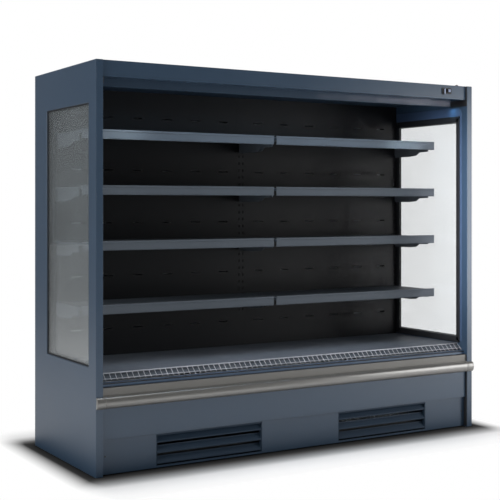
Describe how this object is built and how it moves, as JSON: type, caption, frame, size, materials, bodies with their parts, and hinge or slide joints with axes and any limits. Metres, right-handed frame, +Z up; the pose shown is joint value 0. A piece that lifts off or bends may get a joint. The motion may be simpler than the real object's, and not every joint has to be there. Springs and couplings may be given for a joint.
{
  "type": "open multideck display fridge",
  "caption": "Open-fronted upright chilled display case with glazed end panels, two bays of tilting shelves, a lift-out deck, a bumper rail and a louvred base.",
  "frame": {"origin": "centre of the overall box at floor level", "axes": "+X along the case to its right-hand end as a shopper faces it, +Y from the shopper's side to the back, +Z up"},
  "size_m": [2.5, 0.9, 2.111],
  "materials": {
    "outer_paint": "satin",
    "rear_skin": "matte",
    "tub_moulding": "satin",
    "window_glass": "polished",
    "interior_paint": "matte",
    "shelf_paint": "satin",
    "black_plastic": "matte",
    "lamp": "satin",
    "trim_metal": "satin",
    "galvanised": "satin",
    "condenser_metal": "satin",
    "black_steel": "satin"
  },
  "bodies": {
    "case": {"left_end_panel": "outer_paint", "right_end_panel": "outer_paint", "roof_panel": "outer_paint", "canopy_fascia": "outer_paint", "front_panel": "outer_paint", "kick_panel": "outer_paint", "left_louvre_grille": "outer_paint", "right_louvre_grille": "outer_paint", "insulated_tub": "tub_moulding", "rear_panel": "rear_skin", "left_window_glass": "window_glass", "right_window_glass": "window_glass", "canopy_valance": "interior_paint", "left_upright": "interior_paint", "centre_upright": "interior_paint", "right_upright": "interior_paint", "left_duct_panel": "interior_paint", "right_duct_panel": "interior_paint", "air_honeycomb": "black_plastic", "temperature_controller": "black_plastic", "roof_gland": "black_plastic", "canopy_light": "lamp", "front_trim": "trim_metal", "bumper_rail": "trim_metal", "fan_plate": "galvanised", "evaporator_coil": "galvanised", "condenser_coil": "condenser_metal", "base_frame": "black_steel", "compressor": "black_steel"},
    "left_shelf_1": {"left_shelf_1_tray": "shelf_paint", "left_shelf_1_left_bracket": "shelf_paint", "left_shelf_1_right_bracket": "shelf_paint"},
    "right_shelf_1": {"right_shelf_1_tray": "shelf_paint", "right_shelf_1_left_bracket": "shelf_paint", "right_shelf_1_right_bracket": "shelf_paint"},
    "left_shelf_2": {"left_shelf_2_tray": "shelf_paint", "left_shelf_2_left_bracket": "shelf_paint", "left_shelf_2_right_bracket": "shelf_paint"},
    "right_shelf_2": {"right_shelf_2_tray": "shelf_paint", "right_shelf_2_left_bracket": "shelf_paint", "right_shelf_2_right_bracket": "shelf_paint"},
    "left_shelf_3": {"left_shelf_3_tray": "shelf_paint", "left_shelf_3_left_bracket": "shelf_paint", "left_shelf_3_right_bracket": "shelf_paint"},
    "right_shelf_3": {"right_shelf_3_tray": "shelf_paint", "right_shelf_3_left_bracket": "shelf_paint", "right_shelf_3_right_bracket": "shelf_paint"},
    "left_shelf_4": {"left_shelf_4_tray": "shelf_paint", "left_shelf_4_left_bracket": "shelf_paint", "left_shelf_4_right_bracket": "shelf_paint"},
    "right_shelf_4": {"right_shelf_4_tray": "shelf_paint", "right_shelf_4_left_bracket": "shelf_paint", "right_shelf_4_right_bracket": "shelf_paint"},
    "left_deck": {"left_deck_tray": "shelf_paint"},
    "right_deck": {"right_deck_tray": "shelf_paint"},
    "air_grille": {"return_air_grille": "shelf_paint"},
    "light_switch": {"light_switch_rocker": "black_plastic"},
    "condenser_rotor": {"condenser_fan": "black_plastic"},
    "left_evaporator_rotor": {"left_evaporator_fan": "black_plastic"},
    "right_evaporator_rotor": {"right_evaporator_fan": "black_plastic"}
  },
  "joints": [
    {"name": "left_shelf_1_tilt", "type": "hinge", "parent": "case", "child": "left_shelf_1", "pos_m": [-0.6, 0.2625, 0.806], "axis": [-1, 0, 0], "range_deg": [0, 15]},
    {"name": "right_shelf_1_tilt", "type": "hinge", "parent": "case", "child": "right_shelf_1", "pos_m": [0.6, 0.2625, 0.806], "axis": [-1, 0, 0], "range_deg": [0, 15]},
    {"name": "left_shelf_2_tilt", "type": "hinge", "parent": "case", "child": "left_shelf_2", "pos_m": [-0.6, 0.2625, 1.146], "axis": [-1, 0, 0], "range_deg": [0, 15]},
    {"name": "right_shelf_2_tilt", "type": "hinge", "parent": "case", "child": "right_shelf_2", "pos_m": [0.6, 0.2625, 1.146], "axis": [-1, 0, 0], "range_deg": [0, 15]},
    {"name": "left_shelf_3_tilt", "type": "hinge", "parent": "case", "child": "left_shelf_3", "pos_m": [-0.6, 0.2625, 1.4435], "axis": [-1, 0, 0], "range_deg": [0, 15]},
    {"name": "right_shelf_3_tilt", "type": "hinge", "parent": "case", "child": "right_shelf_3", "pos_m": [0.6, 0.2625, 1.4435], "axis": [-1, 0, 0], "range_deg": [0, 15]},
    {"name": "left_shelf_4_tilt", "type": "hinge", "parent": "case", "child": "left_shelf_4", "pos_m": [-0.6, 0.2625, 1.741], "axis": [-1, 0, 0], "range_deg": [0, 15]},
    {"name": "right_shelf_4_tilt", "type": "hinge", "parent": "case", "child": "right_shelf_4", "pos_m": [0.6, 0.2625, 1.741], "axis": [-1, 0, 0], "range_deg": [0, 15]},
    {"name": "left_deck_lift", "type": "slide", "parent": "case", "child": "left_deck", "axis": [0, 0, 1], "range_m": [0, 0.1]},
    {"name": "right_deck_lift", "type": "slide", "parent": "case", "child": "right_deck", "axis": [0, 0, 1], "range_m": [0, 0.1]},
    {"name": "air_grille_lift", "type": "slide", "parent": "case", "child": "air_grille", "axis": [0, 0, 1], "range_m": [0, 0.06]},
    {"name": "light_switch_rock", "type": "hinge", "parent": "case", "child": "light_switch", "pos_m": [1.03, -0.4135, 2.0615], "axis": [1, 0, 0], "range_deg": [0, 20]},
    {"name": "condenser_fan_spin", "type": "hinge", "parent": "case", "child": "condenser_rotor", "pos_m": [0.5795, -0.19, 0.1703], "axis": [0, 1, 0], "continuous": true},
    {"name": "left_evaporator_fan_spin", "type": "hinge", "parent": "case", "child": "left_evaporator_rotor", "pos_m": [-0.55, -0.098, 0.424], "axis": [0, 1, 0], "continuous": true},
    {"name": "right_evaporator_fan_spin", "type": "hinge", "parent": "case", "child": "right_evaporator_rotor", "pos_m": [0.55, -0.098, 0.424], "axis": [0, 1, 0], "continuous": true}
  ]
}
